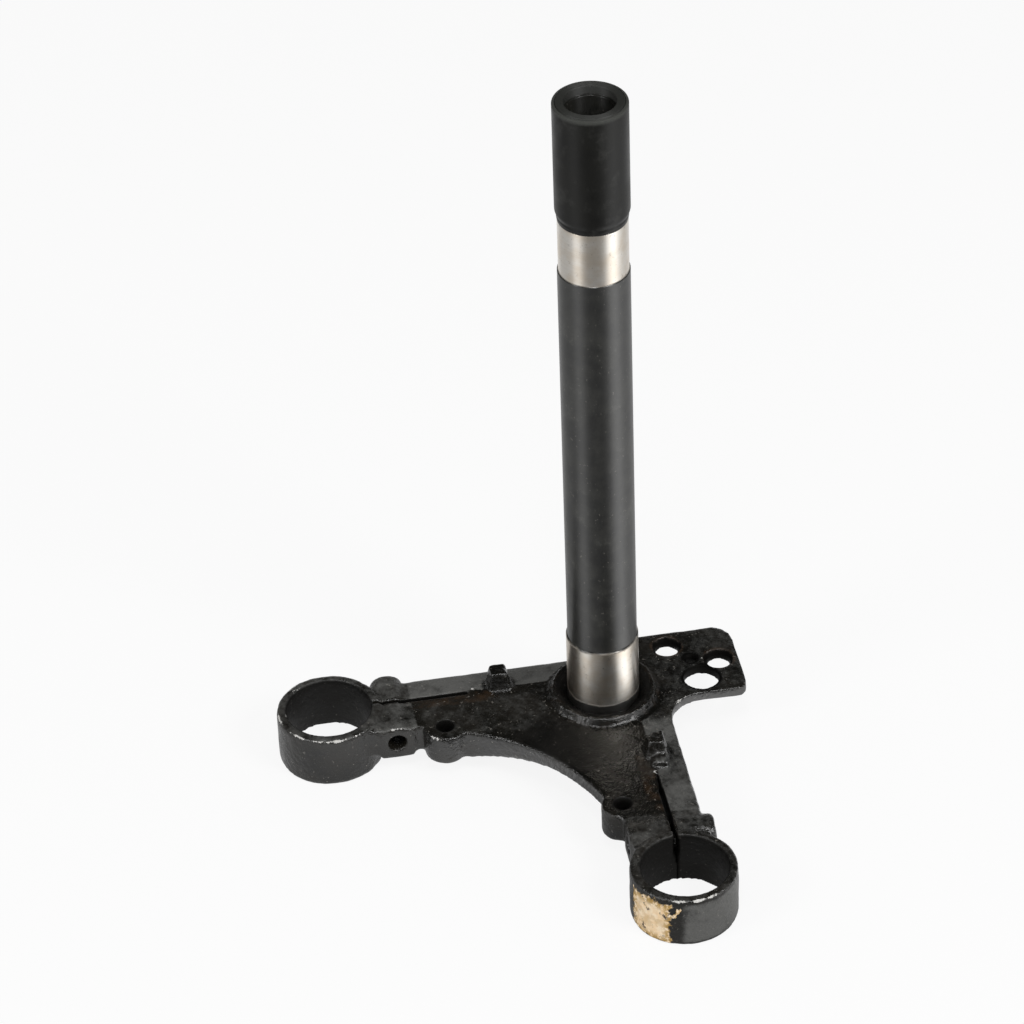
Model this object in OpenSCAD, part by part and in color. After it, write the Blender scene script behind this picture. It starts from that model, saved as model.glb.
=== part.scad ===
// Steering stem of a small motorcycle.
// A cast lower yoke holds two fork tubes in split clamps, a turned steel stem stands in its hub,
// and a black sleeve is pushed over the stem's threaded top.
// Frame: millimetres, +Z up along the stem, origin on the stem axis in the plane of the clamp feet,
// fork clamps ahead towards -Y, one on each side in X, the bracket tab behind towards +X +Y.

/* [Fork clamps] */
// distance between the two fork tube axes
fork_pitch = 166; // [120:1:220]
// distance of the fork axes ahead of the stem axis
fork_offset = 68; // [40:0.5:100]
// bore that grips the fork tube
fork_bore_d = 33; // [26:0.5:45]
// wall of the clamp ring
clamp_wall = 3.85; // [2.5:0.05:8]
// distance of the ring's outside ahead of its bore, which leaves more wall in front
clamp_lead = 0.45; // [0:0.05:1]
// height of the clamp ring
clamp_h = 22; // [14:0.5:40]
// chamfer on the rims of the clamp ring
clamp_edge = 0.6; // [0.2:0.1:1.2]
// width of the saw slit that lets the clamp close
slit_w = 1.8; // [1:0.1:3]
// length of the slit measured from the fork axis
slit_len = 55; // [35:0.5:70]

/* [Pinch bolt bosses] */
// distance of the bolt axis from the fork axis along the arm
pinch_reach = 24.3; // [22:0.1:32]
// width of the boss along the arm
pinch_boss_w = 13.4; // [11:0.1:18]
// height of the boss foot above the clamp feet
pinch_foot_z = 6.4; // [0:0.1:8]
// height of the boss crest above the clamp feet
pinch_crest_z = 21.1; // [20.5:0.1:30]
// height of the bolt axis
pinch_axis_z = 13.6; // [11:0.1:16]
// distance of the front boss face from the slit
pinch_front = 17.2; // [14:0.1:24]
// distance of the rear boss face from the slit
pinch_rear = 16.5; // [13.5:0.1:22]
// radius of the upper corners of the boss
pinch_crest_r = 5.5; // [2:0.5:6.5]
// tapped hole for the bolt, ahead of the slit
pinch_tap_d = 6.8; // [4:0.1:8.5]
// mouth of the tapped hole
pinch_mouth_d = 8.2; // [5:0.1:10]
// clearance hole for the bolt, behind the slit
pinch_hole_d = 8.4; // [5:0.1:10]

/* [Arms and web] */
// angle of the arms to the line through both forks
arm_angle = 45; // [35:1:55]
// height of the upper face of arms, web and tab
deck_z = 20.2; // [17:0.1:21.5]
// height of the arms' lower face
arm_foot_z = 7.5; // [3:0.1:12]
// width of the arm ahead of the slit
arm_front = 16.5; // [10:0.5:20]
// width of the arm behind the slit
arm_rear = 12.7; // [8:0.1:16]
// fall of the upper face from the slit to the rear edge
rear_fall = 0.6; // [0:0.1:2]
// chamfer on the long edges of the arms
arm_edge = 1; // [0.4:0.1:2]
// thickness of the web between the arms
web_t = 6; // [3:0.1:10]
// radius of the hollow front edge
front_arc_r = 78.6; // [60:0.1:110]
// distance of the hollow front edge ahead of the stem axis
front_reach = 43; // [32:0.5:55]
// thickness of the curtain wall under the front edge
curtain_t = 5; // [3:0.5:9]
// radius of the arched foot of the curtain wall
arch_r = 164; // [120:1:260]
// height of the top of the arch
arch_z = 14.4; // [9:0.1:16]
// distance of the top of the arch from the stem axis, to the right
arch_x = 18; // [0:1:25]

/* [Front lobes] */
// distance of the left lobe from the middle
lobe_left_x = 39.8; // [36:0.1:46]
// distance of the right lobe from the middle
lobe_right_x = 43.2; // [36:0.1:46]
// distance of the lobes ahead of the stem axis
lobe_offset = 50.4; // [46:0.1:56]
// radius of a lobe
lobe_r = 8.3; // [6:0.1:11]
// height of the lobe foot
lobe_foot_z = 7.4; // [3:0.1:14]
// chamfer round the top and foot of a lobe
lobe_edge = 0.8; // [0.3:0.1:2]
// tapped hole in a lobe
lobe_hole_d = 5.2; // [3:0.1:8]
// mouth of the countersink on that hole
lobe_mouth_d = 7.4; // [4:0.1:11]

/* [Stop lugs] */
// distance of the lug from the fork axis along the arm
lug_reach = 67.5; // [62:0.5:78]
// distance of the lug behind the slit line
lug_shift = 2.3; // [-4:0.1:5]
// side of the lug at its foot
lug_foot = 9; // [6:0.5:12]
// side of the lug at its top
lug_top = 6.4; // [3:0.1:8]
// height of the lug above the upper face
lug_h = 7.9; // [4:0.1:16]
// length of the broken ledge ahead of the right lug
ledge_len = 5; // [2:0.5:7]
// height of that ledge
ledge_h = 2.6; // [1:0.1:5]

/* [Bracket tab] */
// distance of the tab's end from the stem axis
tab_reach = 56; // [52:0.5:70]
// distance of the tab's front edge from the arm line
tab_front = 19; // [14:0.1:24]
// distance of the tab's rear edge from the arm line
tab_rear = 20.4; // [14:0.1:26]
// thickness of the tab
tab_t = 4.3; // [2.5:0.1:8]
// radius of the outer front corner
tab_front_r = 4; // [2:0.5:8]
// radius of the outer rear corner
tab_rear_r = 9; // [2:0.5:12]
// radius of the hollow between tab and right arm
tab_hollow_r = 13; // [6:0.5:20]
// drill size of the two bracket holes
bracket_hole_d = 9; // [5:0.1:12]
// worn mouth of the bracket holes
bracket_mouth_d = 11.8; // [6:0.1:15]
// depth of that worn mouth
bracket_mouth_h = 1.8; // [0.3:0.1:3]
// inner bracket hole, distance behind the stem axis along the tab
bracket_a_reach = 29.6; // [20:0.1:40]
// inner bracket hole, distance from the arm line
bracket_a_side = 11.7; // [8:0.1:15]
// outer bracket hole, distance behind the stem axis along the tab
bracket_b_reach = 48.2; // [38:0.1:50]
// outer bracket hole, distance from the arm line
bracket_b_side = 0.4; // [-6:0.1:9]
// large cable hole
cable_hole_d = 13.7; // [8:0.1:18]
// cable hole, distance behind the stem axis along the tab
cable_reach = 39.3; // [30:0.1:48]
// cable hole, distance from the arm line
cable_side = -9.4; // [-11:0.1:-2]
// small pilot hole
pilot_hole_d = 4.8; // [2:0.1:8]
// pilot hole, distance behind the stem axis along the tab
pilot_reach = 37.3; // [30:0.1:45]
// pilot hole, distance from the arm line
pilot_side = 2.6; // [-2:0.1:6]
// chamfer round the cable hole and the pilot hole
tab_hole_edge = 0.4; // [0.2:0.1:1]

/* [Hub and collar] */
// radius of the hub under the web
hub_r = 22.2; // [18:0.1:28]
// height at which the collar's flank starts, just below the upper face
collar_foot_z = 18.8; // [14:0.1:19]
// radius of the collar rim
collar_r = 19.9; // [16:0.1:21]
// height of the collar rim above the clamp feet
collar_z = 23.2; // [21.5:0.1:28]
// width of the flat on the collar rim
collar_flat = 0.8; // [0.3:0.1:2]
// depth of the dish between collar and stem
dish_h = 2.8; // [0.5:0.1:4]
// width of the flat floor of the dish, where a bearing ring ends
dish_flat = 1; // [0.6:0.1:2]
// chamfer round the foot of the hub
hub_edge = 1; // [0.3:0.1:3]

/* [Stem] */
// root of the stem, pressed into the hub
root_d = 28.4; // [22:0.1:36]
// lower bearing seat
seat_low_d = 28; // [22:0.1:35]
// top of the lower bearing seat
seat_low_z = 50.7; // [38:0.1:70]
// plain middle part of the stem
shank_d = 26.9; // [20:0.1:34]
// bottom of the upper bearing seat
seat_up_z = 221.2; // [150:0.1:280]
// upper bearing seat
seat_up_d = 26; // [18:0.1:33]
// length of the upper bearing seat
seat_up_h = 21.9; // [10:0.1:35]
// threaded end, outside
thread_d = 25.4; // [16:0.1:32]
// length of the threaded end
thread_h = 49.3; // [30:0.1:80]
// bore through the stem
stem_bore_d = 17.3; // [8:0.1:22]
// wider mouth of the bore at the top
mouth_d = 19.2; // [10:0.1:23]
// depth of that mouth
mouth_h = 3.4; // [1:0.1:8]
// chamfers on the stem's shoulders
stem_edge = 0.4; // [0.1:0.1:1]

/* [Thread sleeve] */
// outside of the sleeve
sleeve_d = 27.7; // [26.6:0.1:34]
// gap between thread and sleeve
sleeve_gap = 0.1; // [0:0.05:0.4]
// height of the drawn-in foot of the sleeve
sleeve_foot_h = 4.4; // [1:0.1:8]
// rounding of the sleeve's upper lip
sleeve_lip_r = 0.9; // [0.3:0.1:1.1]
// distance of the sleeve's lip below the stem's end
sleeve_drop = 0.2; // [0:0.1:3]

/* [Hidden] */
$fn = 96;
// how far cutters run past the faces they open
over = 1;
fork_bore_r = fork_bore_d / 2;
clamp_r = fork_bore_r + clamp_wall;
half_pitch = fork_pitch / 2;
lug_z = deck_z + lug_h;
// reach of the stem axis along an arm, and its side offset from the arm line
hub_reach = half_pitch * cos(arm_angle) + fork_offset * sin(arm_angle);
hub_side = half_pitch * sin(arm_angle) - fork_offset * cos(arm_angle);
// reach at which the two arm lines cross
cross_reach = half_pitch / cos(arm_angle);
front_arc_y = -front_reach - front_arc_r;
// countersinks stand at 45 degrees, so each is as deep as it is wide
lobe_mouth_h = (lobe_mouth_d - lobe_hole_d) / 2;
pinch_mouth_h = (pinch_mouth_d - pinch_tap_d) / 2;
dish_z = collar_z - dish_h;
thread_z = seat_up_z + seat_up_h;
stem_top_z = thread_z + thread_h;
sleeve_bore_d = thread_d + 2 * sleeve_gap;
sleeve_top_z = stem_top_z - sleeve_drop;
iron = [0.13, 0.13, 0.13];
steel = [0.72, 0.7, 0.67];
black = [0.08, 0.08, 0.08];

// Arm frame of the left side: X runs from the fork axis towards the hub, Y to the rear.
module arm_frame() {
    translate([-half_pitch, -fork_offset, 0])
        rotate([0, 0, arm_angle])
            children();
}

module both_sides() {
    children();
    mirror([1, 0, 0])
        children();
}

// A flat section drawn as (side, height) and run along the arm from one reach to another.
module along_arm(from, to) {
    translate([from, 0, 0])
        rotate([90, 0, 90])
            linear_extrude(to - from)
                children();
}

// A flat section drawn as (reach, height) and run across the arm from one side to the other.
module across_arm(from, to) {
    translate([0, to, 0])
        rotate([90, 0, 0])
            linear_extrude(to - from)
                children();
}

// A corner cut of 45 degrees on a lower edge; outwards is -1 for the front edge and 1 for the rear one.
module foot_cut(side, outwards) {
    wide = arm_edge + over;
    polygon([
        [side + outwards * over, arm_foot_z + wide],
        [side - outwards * wide, arm_foot_z - over],
        [side + outwards * over, arm_foot_z - over]
    ]);
}

// What is taken off above the rear strip: its slope and the edge behind it.
module rear_cut() {
    slope = rear_fall / (arm_rear - arm_edge);
    rear_z = deck_z - rear_fall;
    polygon([
        [-over, deck_z + over * slope],
        [arm_rear - arm_edge, rear_z],
        [arm_rear + over, rear_z - arm_edge - over],
        [arm_rear + over, deck_z + over],
        [-over, deck_z + over]
    ]);
}

module arm_bar() {
    difference() {
        translate([0, -arm_front, arm_foot_z])
            cube([hub_reach, arm_front + arm_rear, deck_z - arm_foot_z]);
        along_arm(-over, hub_reach + over) {
            foot_cut(-arm_front, -1);
            foot_cut(arm_rear, 1);
            rear_cut();
        }
    }
}

module pinch_section() {
    flat = pinch_boss_w / 2 - pinch_crest_r;
    translate([pinch_reach - pinch_boss_w / 2, pinch_foot_z])
        square([pinch_boss_w, pinch_crest_z - pinch_crest_r - pinch_foot_z]);
    translate([pinch_reach - flat, pinch_crest_z - 2 * pinch_crest_r])
        square([2 * flat, 2 * pinch_crest_r]);
    for (end = [-1, 1])
        translate([pinch_reach + end * flat, pinch_crest_z - pinch_crest_r])
            circle(pinch_crest_r);
}

module clamp_ring() {
    translate([0, -clamp_lead, 0])
        rotate_extrude()
            polygon([
                [0, 0],
                [clamp_r - clamp_edge, 0],
                [clamp_r, clamp_edge],
                [clamp_r, clamp_h - clamp_edge],
                [clamp_r - clamp_edge, clamp_h],
                [0, clamp_h]
            ]);
}

// Four flat sides that lean inwards from foot to top; they start below the sloping face.
module stop_lug() {
    half_top = lug_top / 2;
    half_root = lug_foot / 2 + (lug_foot / 2 - half_top) * over / lug_h;
    profile = [
        [-half_root, deck_z - over],
        [half_root, deck_z - over],
        [half_top, lug_z],
        [-half_top, lug_z]
    ];
    translate([lug_reach, lug_shift, 0])
        intersection() {
            along_arm(-half_root, half_root)
                polygon(profile);
            across_arm(-half_root, half_root)
                polygon(profile);
        }
}

module lug_ledge() {
    translate([lug_reach - lug_foot / 2 - ledge_len, lug_shift - lug_top / 2, deck_z - over])
        cube([ledge_len + lug_foot / 2, lug_top, ledge_h + over]);
}

module arm(lobe_x) {
    arm_frame() {
        clamp_ring();
        arm_bar();
        across_arm(-pinch_front, pinch_rear)
            pinch_section();
        stop_lug();
    }
    translate([-lobe_x, -lobe_offset, 0])
        rotate_extrude()
            polygon([
                [0, lobe_foot_z],
                [lobe_r - lobe_edge, lobe_foot_z],
                [lobe_r, lobe_foot_z + lobe_edge],
                [lobe_r, deck_z - lobe_edge],
                [lobe_r - lobe_edge, deck_z],
                [0, deck_z]
            ]);
}

// Everything ahead of the arm lines, up to the hollow front edge.
module web_outline() {
    polygon([
        [-lobe_left_x, -lobe_offset - lobe_r],
        [lobe_right_x, -lobe_offset - lobe_r],
        [lobe_right_x, -lobe_offset],
        [0, hub_side / cos(arm_angle)],
        [-lobe_left_x, -lobe_offset]
    ]);
}

module front_cutter() {
    translate([0, front_arc_y, 0])
        rotate_extrude()
            polygon([
                [0, -over],
                [front_arc_r, -over],
                [front_arc_r, deck_z - arm_edge],
                [front_arc_r + arm_edge + over, deck_z + over],
                [0, deck_z + over]
            ]);
}

// The upper plate, and a curtain wall under its front edge whose foot is a low arch.
module web() {
    difference() {
        union() {
            translate([0, 0, deck_z - web_t])
                linear_extrude(web_t)
                    web_outline();
            difference() {
                translate([0, 0, arm_foot_z])
                    linear_extrude(deck_z - arm_foot_z)
                        intersection() {
                            web_outline();
                            translate([0, front_arc_y])
                                circle(front_arc_r + curtain_t);
                        }
                translate([arch_x, over, arch_z - arch_r])
                    rotate([90, 0, 0])
                        cylinder(h = fork_offset + lobe_r, r = arch_r);
            }
        }
        front_cutter();
    }
}

// Tab outline in the left arm's frame.
module tab_outline() {
    end = hub_reach + tab_reach;
    polygon([
        [hub_reach, tab_rear],
        [end - tab_rear_r, tab_rear],
        [end - tab_rear_r, tab_rear - tab_rear_r],
        [end, tab_rear - tab_rear_r],
        [end, tab_front_r - tab_front],
        [end - tab_front_r, tab_front_r - tab_front],
        [end - tab_front_r, -tab_front],
        [hub_reach, -tab_front]
    ]);
    translate([end - tab_rear_r, tab_rear - tab_rear_r])
        circle(tab_rear_r);
    translate([end - tab_front_r, tab_front_r - tab_front])
        circle(tab_front_r);
}

// Hollow corner between the tab's front edge and the right arm's rear edge.
module tab_hollow() {
    corner_reach = cross_reach + (arm_rear + tab_front * cos(2 * arm_angle)) / sin(2 * arm_angle);
    round_reach = corner_reach + tab_hollow_r * (1 + cos(2 * arm_angle)) / sin(2 * arm_angle);
    round_side = -tab_front - tab_hollow_r;
    difference() {
        polygon([
            [corner_reach - over, over - tab_front],
            [round_reach, -tab_front],
            [round_reach, round_side],
            [round_reach - tab_hollow_r * sin(2 * arm_angle), round_side - tab_hollow_r * cos(2 * arm_angle)]
        ]);
        translate([round_reach, round_side])
            circle(tab_hollow_r);
    }
}

module tab() {
    arm_frame()
        translate([0, 0, deck_z - tab_t])
            linear_extrude(tab_t) {
                tab_outline();
                tab_hollow();
            }
}

// The widening mouth of a hole, as wide as wide_d in the plane z = 0 and cut on past it.
module hole_mouth(drill_d, wide_d, depth) {
    translate([0, 0, -depth])
        cylinder(h = depth + over, d1 = drill_d, d2 = drill_d + (wide_d - drill_d) * (depth + over) / depth);
}

module tab_hole(reach, side, drill_d, wide_d, wide_h) {
    translate([hub_reach + reach, side, deck_z]) {
        translate([0, 0, -tab_t - over])
            cylinder(h = tab_t + 2 * over, d = drill_d);
        hole_mouth(drill_d, wide_d, wide_h);
    }
}

module tab_holes() {
    tab_hole(bracket_a_reach, bracket_a_side, bracket_hole_d, bracket_mouth_d, bracket_mouth_h);
    tab_hole(bracket_b_reach, bracket_b_side, bracket_hole_d, bracket_mouth_d, bracket_mouth_h);
    tab_hole(cable_reach, cable_side, cable_hole_d, cable_hole_d + 2 * tab_hole_edge, tab_hole_edge);
    tab_hole(pilot_reach, pilot_side, pilot_hole_d, pilot_hole_d + 2 * tab_hole_edge, tab_hole_edge);
}

module hub() {
    rotate_extrude()
        polygon([
            [0, 0],
            [hub_r - hub_edge, 0],
            [hub_r, hub_edge],
            [hub_r, collar_foot_z],
            [collar_r, collar_z],
            [collar_r - collar_flat, collar_z],
            [root_d / 2 + dish_flat, dish_z],
            [0, dish_z]
        ]);
}

// Fork bore, saw slit and pinch bolt holes of one arm.
module arm_holes() {
    arm_frame() {
        translate([0, 0, -over])
            cylinder(h = clamp_h + 2 * over, d = fork_bore_d);
        translate([0, 0, clamp_h])
            hole_mouth(fork_bore_d, fork_bore_d + 2 * clamp_edge, clamp_edge);
        translate([0, -slit_w / 2, -over])
            cube([slit_len, slit_w, clamp_h + 2 * over]);
        translate([pinch_reach, 0, pinch_axis_z])
            rotate([90, 0, 0]) {
                cylinder(h = pinch_front + over, d = pinch_tap_d);
                translate([0, 0, pinch_front])
                    hole_mouth(pinch_tap_d, pinch_mouth_d, pinch_mouth_h);
            }
        translate([pinch_reach, pinch_rear + over, pinch_axis_z])
            rotate([90, 0, 0])
                cylinder(h = pinch_rear + over, d = pinch_hole_d);
    }
}

module lobe_hole(x) {
    translate([x, -lobe_offset, 0]) {
        cylinder(h = deck_z + over, d = lobe_hole_d);
        translate([0, 0, deck_z])
            hole_mouth(lobe_hole_d, lobe_mouth_d, lobe_mouth_h);
    }
}

module yoke() {
    color(iron)
        difference() {
            union() {
                arm(lobe_left_x);
                mirror([1, 0, 0]) {
                    arm(lobe_right_x);
                    arm_frame()
                        lug_ledge();
                }
                web();
                tab();
                hub();
            }
            both_sides()
                arm_holes();
            lobe_hole(-lobe_left_x);
            lobe_hole(lobe_right_x);
            arm_frame()
                tab_holes();
            translate([0, 0, -over])
                cylinder(h = collar_z + 2 * over, d = root_d);
        }
}

module stem() {
    root_r = root_d / 2;
    low_r = seat_low_d / 2;
    shank_r = shank_d / 2;
    up_r = seat_up_d / 2;
    thread_r = thread_d / 2;
    bore_r = stem_bore_d / 2;
    mouth_r = mouth_d / 2;
    color(steel)
        rotate_extrude()
            polygon([
                [bore_r, 0],
                [root_r - stem_edge, 0],
                [root_r, stem_edge],
                [root_r, dish_z],
                [low_r, dish_z],
                [low_r, seat_low_z - stem_edge],
                [low_r - stem_edge, seat_low_z],
                [shank_r, seat_low_z],
                [shank_r, seat_up_z - stem_edge],
                [shank_r - stem_edge, seat_up_z],
                [up_r, seat_up_z],
                [up_r, thread_z],
                [thread_r, thread_z],
                [thread_r, stem_top_z - stem_edge],
                [thread_r - stem_edge, stem_top_z],
                [mouth_r, stem_top_z],
                [mouth_r, stem_top_z - mouth_h],
                [bore_r, stem_top_z - mouth_h]
            ]);
}

// The upper lip is rounded off in three flanks.
module thread_sleeve() {
    wall_r = sleeve_d / 2;
    bore_r = sleeve_bore_d / 2;
    foot_r = seat_up_d / 2;
    lip_near = sleeve_lip_r * (1 - cos(30));
    lip_far = sleeve_lip_r * (1 - sin(30));
    color(black)
        rotate_extrude()
            polygon([
                [bore_r, thread_z],
                [foot_r, thread_z],
                [wall_r, thread_z + sleeve_foot_h],
                [wall_r, sleeve_top_z - sleeve_lip_r],
                [wall_r - lip_near, sleeve_top_z - lip_far],
                [wall_r - lip_far, sleeve_top_z - lip_near],
                [wall_r - sleeve_lip_r, sleeve_top_z],
                [bore_r, sleeve_top_z]
            ]);
}

yoke();
stem();
thread_sleeve();
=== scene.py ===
"""Visual model of a motorcycle steering stem: a cast yoke, a turned stem and a thread sleeve."""

import math

import bmesh
import bpy
import numpy as np
from bpy.props import FloatProperty, FloatVectorProperty, IntProperty, PointerProperty
from mathutils import Matrix, Vector


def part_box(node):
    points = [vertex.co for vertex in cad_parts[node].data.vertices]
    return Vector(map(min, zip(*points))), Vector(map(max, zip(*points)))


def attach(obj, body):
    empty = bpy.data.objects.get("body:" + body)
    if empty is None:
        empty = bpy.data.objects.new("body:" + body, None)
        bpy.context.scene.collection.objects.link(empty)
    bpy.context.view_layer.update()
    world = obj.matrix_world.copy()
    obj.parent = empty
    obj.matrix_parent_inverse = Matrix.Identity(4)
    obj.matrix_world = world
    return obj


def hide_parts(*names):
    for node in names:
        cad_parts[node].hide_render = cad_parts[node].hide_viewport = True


bl_info = {
    "name": "Steering stem",
    "version": (1, 0, 0),
    "blender": (4, 5, 0),
    "location": "View3D > Sidebar > Steering stem",
    "description": "Cast yoke, turned stem, thread sleeve and studio for a steering stem",
    "category": "Object",
}

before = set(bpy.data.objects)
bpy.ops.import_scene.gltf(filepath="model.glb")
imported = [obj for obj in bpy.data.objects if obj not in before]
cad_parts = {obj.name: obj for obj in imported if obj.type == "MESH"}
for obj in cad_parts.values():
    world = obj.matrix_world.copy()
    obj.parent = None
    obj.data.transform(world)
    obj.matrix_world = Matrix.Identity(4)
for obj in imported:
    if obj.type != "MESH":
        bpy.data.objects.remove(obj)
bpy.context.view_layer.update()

MM = 0.001

# The casting's plan in millimetres: arm angle, fork axis, and the stem axis's reach along an arm
ARM = math.radians(45)
FORK = (83.0, -68.0)
HUB_REACH = 106.77
# Reach and height of a pinch bolt, and the tapped holes of the left and the right lobe as x, y
PINCH_REACH, PINCH_HEIGHT = 24.3, 13.6
LOBE_HOLES = ((-39.8, -50.4), (43.2, -50.4))
# Holes in the tab: reach behind the stem axis, side offset and radius; the last is the pilot hole
TAB_HOLES = ((29.6, 11.7, 4.5), (48.2, 0.4, 4.5), (39.3, -9.4, 6.85), (37.3, 2.6, 2.4))
BRACKET_HOLES, PILOT_HOLE = TAB_HOLES[:2], TAB_HOLES[3]
# Radius of the hub and its collar on the deck
HUB_RADIUS = 23
# Outside of the right clamp as modelled, for the patch where its paint is gone
BARE_CLAMP = np.array([82.7, -68.3])

# Bumps on the casting in millimetres: x, y, z, radius and height, a hollow having a negative one.
# The first rows are the beads at the slits' ends and on the collar.
BEADS = 5
LUMPS = np.array([
    [-43.4, -27.0, 20.2, 1.5, 0.75], [43.5, -29.0, 20.2, 1.6, 0.8],
    [45.2, -30.8, 19.6, 1.0, 0.7], [6.2, -17.8, 23.2, 1.0, 0.5],
    [17.6, -9.5, 23.2, 1.0, 0.5], [12.5, -14.6, 23.2, 1.2, -0.35],
    [-3.0, -19.0, 23.2, 1.4, 0.3], [-12.0, -15.2, 23.2, 1.6, -0.3],
    [27.0, 11.2, 20.2, 2.0, 0.5], [30.5, 13.5, 20.2, 1.4, -0.4],
    [78.9, -40.1, 18.0, 1.8, -0.9], [76.5, -41.8, 20.4, 1.3, -0.6],
    [33.6, -18.6, 27.6, 1.6, -1.1], [36.6, -17.0, 28.0, 1.2, -0.6],
    [31.8, -21.0, 24.6, 1.5, -0.7], [38.0, -24.6, 23.0, 1.4, -0.8],
    [35.2, -25.2, 22.4, 1.3, 0.5], [-34.8, -16.2, 28.0, 1.3, -0.5],
    [-43.0, -59.5, 17.0, 2.2, -0.8], [-64.4, -88.4, 21.6, 1.5, -0.45],
    [-60.3, -77.2, 21.4, 1.3, -0.5], [-82.0, -90.0, 21.8, 1.6, -0.4],
])

# Places where paint has chipped off an edge and where glints are painted on it: x, y, z and radius
# in millimetres
CHIPS_AND_GLINTS = np.array([
    [-82.3, -90.2, 21.8, 5.0], [-72.0, -89.5, 21.8, 6.0], [-64.5, -86.5, 21.8, 5.0],
    [-60.5, -77.5, 21.8, 5.0], [-38.4, -58.4, 19.6, 3.5], [-32.0, -55.6, 19.6, 3.0],
    [-26.6, -47.7, 19.7, 3.0], [-20.5, -46.6, 19.7, 3.5], [-15.5, -45.8, 19.7, 3.0],
    [0.5, -44.1, 19.7, 3.5], [11.3, -44.5, 19.7, 3.5], [6.2, -17.8, 23.4, 2.2],
    [17.6, -9.5, 23.4, 2.6], [-43.4, -27.0, 20.9, 1.5], [43.5, -29.0, 20.9, 1.5],
    [27.0, 11.2, 20.2, 2.5], [78.9, -40.1, 17.8, 2.2], [37.5, -24.0, 22.6, 2.6],
    [33.0, -20.5, 27.5, 2.0], [58.0, -67.5, 21.5, 3.0], [52.0, -61.5, 21.5, 3.0],
    [98.3, -81.4, 21.8, 3.5], [101.1, -76.9, 21.8, 3.2], [92.5, -86.0, 21.8, 3.0],
    [-94.5, -84.5, 21.8, 4.0], [-102.5, -66.0, 21.8, 4.0], [14.0, 30.2, 20.2, 2.5],
    [29.6, 31.4, 20.2, 2.5], [22.0, 25.5, 20.2, 2.0], [30.0, 14.0, 20.2, 3.0],
    [35.0, 17.5, 20.2, 2.5], [-36.0, -17.0, 27.5, 2.5], [-31.0, -13.5, 27.5, 2.0],
    [-52.5, -60.5, 20.5, 3.0], [-46.5, -54.5, 20.0, 2.5], [-54.2, -62.5, 19.8, 7.0],
    [-68.0, -84.0, 20.6, 7.0],
])

# Small nicks with painted glints on the wall of the left clamp: x, y, z and radius in millimetres
NICKS_AND_GLINTS = np.array([
    [-75.5, -86.5, 15.2, 0.7], [-75.3, -86.5, 12.4, 0.8], [-76.2, -86.8, 7.2, 0.8],
    [-73.6, -85.7, 6.4, 0.7], [-79.5, -87.7, 3.6, 0.6], [-72.4, -85.0, 13.2, 0.7],
])

# Flecks of bare metal beside the bare patch: compass angle in degrees, height and size
FLECKS = ((-63, 16.8, 1.0), (-66.5, 14.6, 0.8), (-60, 17.9, 0.6))

# Outlines of stem and sleeve as radius and height in millimetres, and each corner's rounding
STEM_CORNERS = np.array([
    [8.65, 0.0], [13.8, 0.0], [14.2, 0.4], [14.2, 20.4], [14.0, 20.4], [14.0, 50.3], [13.6, 50.7],
    [13.45, 50.7], [13.45, 220.8], [13.05, 221.2], [13.0, 221.2], [13.0, 243.1], [12.7, 243.1],
    [12.7, 292.0], [12.3, 292.4], [9.6, 292.4], [9.6, 289.0], [8.65, 289.0]])
STEM_RADII = np.array([
    0.2, 0.12, 0.12, 0.05, 0.05, 0.12, 0.05, 0.05, 0.12, 0.02, 0.02, 0.1, 0.1, 0.15, 0.15, 0.3, 0.1,
    0.2])
SLEEVE_CORNERS = np.array([
    [12.8, 243.1], [13.0, 243.1], [13.25, 244.6], [13.15, 245.4], [13.85, 247.2], [13.85, 292.2],
    [12.8, 292.2]])
SLEEVE_RADII = np.array([0.05, 0.08, 0.35, 0.3, 0.8, 0.78, 0.2])

# Heights of the two ground seats, and two heights past the stem's ends, in metres
LOWER_SEAT, UPPER_SEAT = (0.0248, 0.0502), (0.2212, 0.2432)
BELOW_STEM, ABOVE_STEM = -0.01, 0.30

# Fixed colours of the materials
BARE_PALE, OCHRE = (0.99, 0.81, 0.58, 1.0), (0.55, 0.36, 0.13, 1.0)
GOLDEN_BORDER, CRACK = (0.46, 0.28, 0.07, 1.0), (0.05, 0.03, 0.018, 1.0)
IRON_AND_GLINT_DARK, IRON_AND_GLINT_PALE = (0.32, 0.31, 0.29, 1.0), (0.80, 0.79, 0.76, 1.0)
# The last colour on the next line is painted shade: near black laid in slits, bores, holes, the
# dish and on the deck before the stem.
SPECK, PAINTED_SHADE_BLACK = (0.30, 0.28, 0.25, 1.0), (0.0032, 0.0028, 0.0018, 1.0)
TURNING_MARK, STAIN = (0.36, 0.33, 0.28, 1.0), (0.20, 0.17, 0.13, 1.0)
PIT, TAN = (0.05, 0.045, 0.04, 1.0), (0.30, 0.205, 0.12, 1.0)
SHANK_PATCH, SHANK_FOOT = (0.014, 0.014, 0.0115, 1.0), (0.006, 0.0055, 0.0045, 1.0)
SCUFF, DOT = (0.055, 0.055, 0.048, 1.0), (0.16, 0.15, 0.13, 1.0)
STEM_MOUTH, SLEEVE_PATCH = (0.020, 0.021, 0.018, 1.0), (0.0062, 0.0062, 0.0050, 1.0)
SMUDGE, SLEEVE_LIP_SCUFF_AND_HIGHLIGHT = (0.026, 0.026, 0.024, 1.0), (0.085, 0.088, 0.080, 1.0)
# Spread of roughness over the patches, and depth in millimetres of the fine bump on turned parts
ROUGH_SPREAD = 0.08
FINE_BUMP = 0.02

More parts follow.
